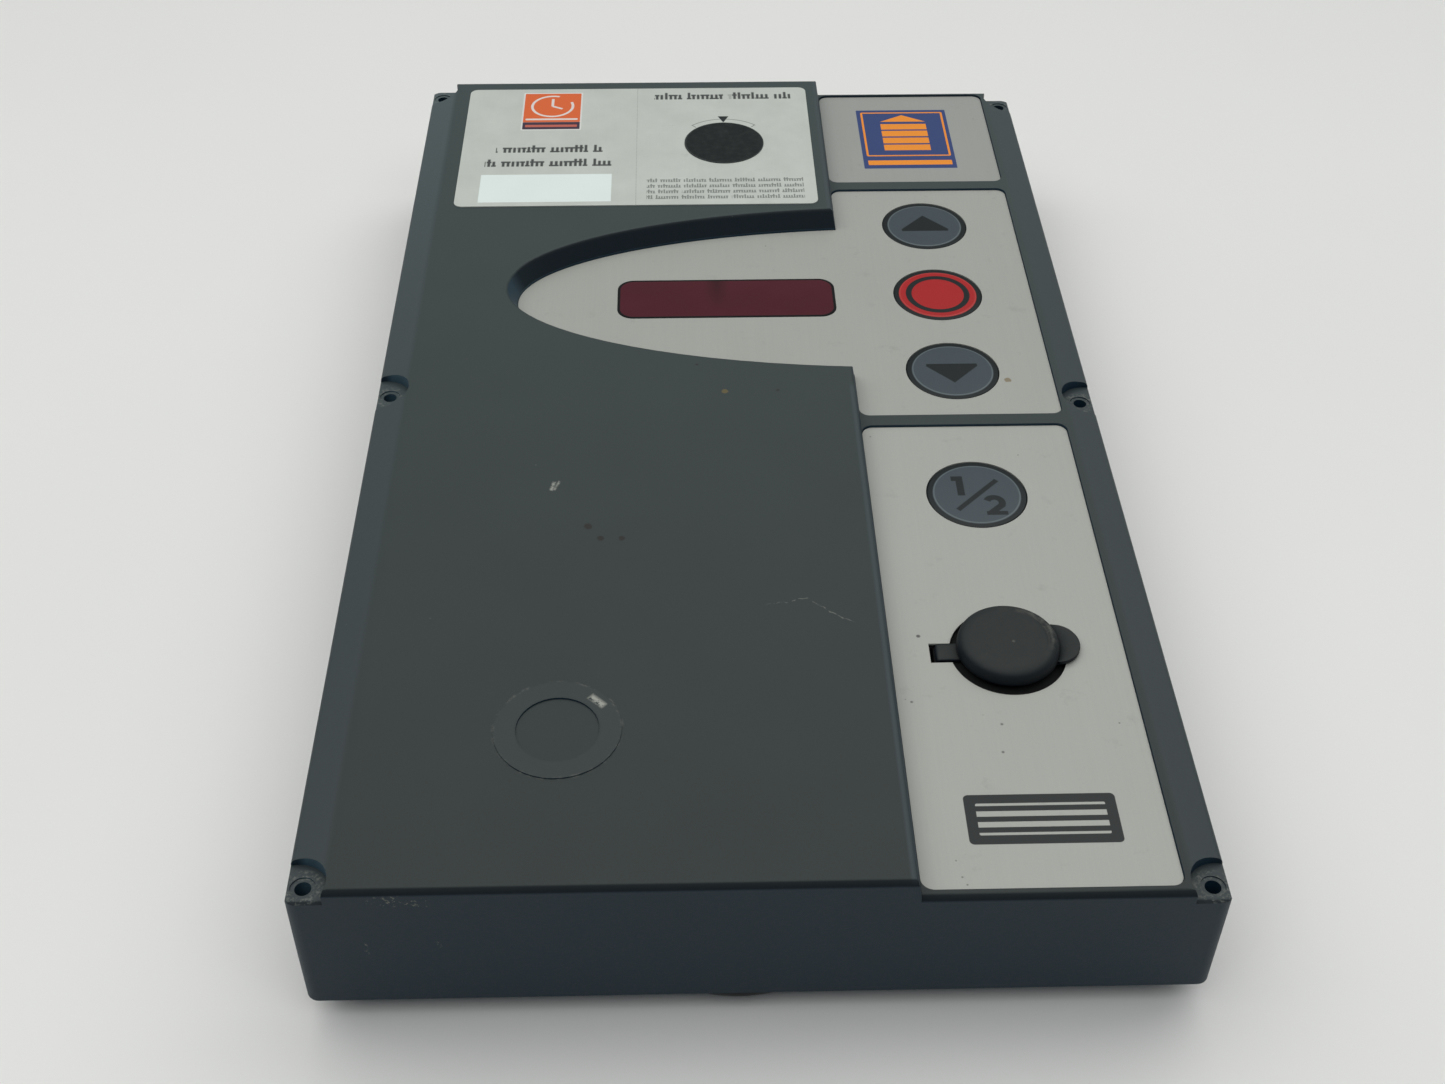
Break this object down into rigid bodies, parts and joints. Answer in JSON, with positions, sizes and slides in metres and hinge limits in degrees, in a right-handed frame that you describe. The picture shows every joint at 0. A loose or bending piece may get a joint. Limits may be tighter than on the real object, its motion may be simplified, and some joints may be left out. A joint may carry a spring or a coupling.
{
  "type": "garage door opener wall control unit",
  "caption": "Wall control unit of a garage door opener: grey cover with keypad, display window, lock under a rubber cap, and a shallow rear housing.",
  "frame": {"origin": "middle of the rear housing's flat back face", "axes": "+Z out of the front face, +Y up the wall when mounted, +X to the right seen from the front; the unit lies on its back"},
  "size_m": [0.202, 0.346, 0.0473],
  "materials": {
    "cover_plastic": "fine moulded texture, dark grey",
    "label_silver": "satin printed label",
    "badge_black": "matt print",
    "foil_grey": "finely textured polyester foil",
    "window_red": "smoked red window",
    "key_grey": "textured foil key",
    "key_red": "textured foil key",
    "cap_rubber": "dull moulded rubber",
    "seal_rubber": "black soft rubber",
    "lock_metal": "polished",
    "nut_metal": "nickelled",
    "cam_steel": "zinc plated",
    "screw_steel": "zinc plated",
    "board_green": "solder mask",
    "part_black": "moulded",
    "part_blue": "moulded",
    "display_face": "segment display",
    "housing_plastic": "moulded",
    "core_steel": "laminated",
    "coil_tape": "tape-wound",
    "can_sleeve": "shrink sleeve",
    "terminal_green": "moulded",
    "fuse_glass": "clear",
    "header_black": "moulded"
  },
  "bodies": {
    "rear_unit": {"rear_housing": "housing_plastic", "housing_seal": "seal_rubber", "cable_grommets": "seal_rubber", "control_board": "board_green", "control_board_screws": "screw_steel", "control_header": "header_black", "transformer_core": "core_steel", "transformer_coil": "coil_tape", "relays": "part_blue", "capacitors": "can_sleeve", "fuse_holder": "part_black", "glass_fuse": "fuse_glass", "terminal_blocks": "terminal_green", "terminal_screws": "screw_steel", "microcontroller": "part_black"},
    "cover_unit": {"front_cover": "cover_plastic", "service_label": "label_silver", "label_badge": "badge_black", "top_panel": "foil_grey", "upper_keypad_panel": "foil_grey", "lower_keypad_panel": "foil_grey", "display_window": "window_red", "strap_anchor": "cap_rubber", "lock_body": "lock_metal", "lock_nut": "nut_metal", "microswitch": "part_black", "microswitch_screws": "screw_steel", "keypad_board": "board_green", "keypad_board_screws": "screw_steel", "key_switches": "part_black", "digit_display": "display_face", "keypad_socket": "header_black"},
    "lock_turn": {"lock_core": "lock_metal", "lock_cam": "cam_steel", "cam_screw": "screw_steel"},
    "cap": {"lock_cap": "cap_rubber"},
    "up_key": {"key_up": "key_grey"},
    "stop_key": {"key_stop": "key_red"},
    "down_key": {"key_down": "key_grey"},
    "half_key": {"key_half": "key_grey"}
  },
  "joints": [
    {"name": "cover_lift", "type": "slide", "parent": "rear_unit", "child": "cover_unit", "axis": [0, 0, 1], "range_m": [0, 0.06]},
    {"name": "lock_turning", "type": "hinge", "parent": "cover_unit", "child": "lock_turn", "pos_m": [0.06205, -0.1004, 0.03], "axis": [0, 0, 1], "range_deg": [0, 90]},
    {"name": "cap_hinge", "type": "hinge", "parent": "cover_unit", "child": "cap", "pos_m": [0.04505, -0.1004, 0.0407], "axis": [0, -1, 0], "range_deg": [0, 120]},
    {"name": "up_press", "type": "slide", "parent": "cover_unit", "child": "up_key", "axis": [0, 0, 1], "range_m": [-0.0006, 0], "stiffness_N_per_m": 3000, "springref_m": 0.0003},
    {"name": "stop_press", "type": "slide", "parent": "cover_unit", "child": "stop_key", "axis": [0, 0, 1], "range_m": [-0.0006, 0], "stiffness_N_per_m": 3000, "springref_m": 0.0003},
    {"name": "down_press", "type": "slide", "parent": "cover_unit", "child": "down_key", "axis": [0, 0, 1], "range_m": [-0.0006, 0], "stiffness_N_per_m": 3000, "springref_m": 0.0003},
    {"name": "half_press", "type": "slide", "parent": "cover_unit", "child": "half_key", "axis": [0, 0, 1], "range_m": [-0.0006, 0], "stiffness_N_per_m": 3000, "springref_m": 0.0003}
  ]
}
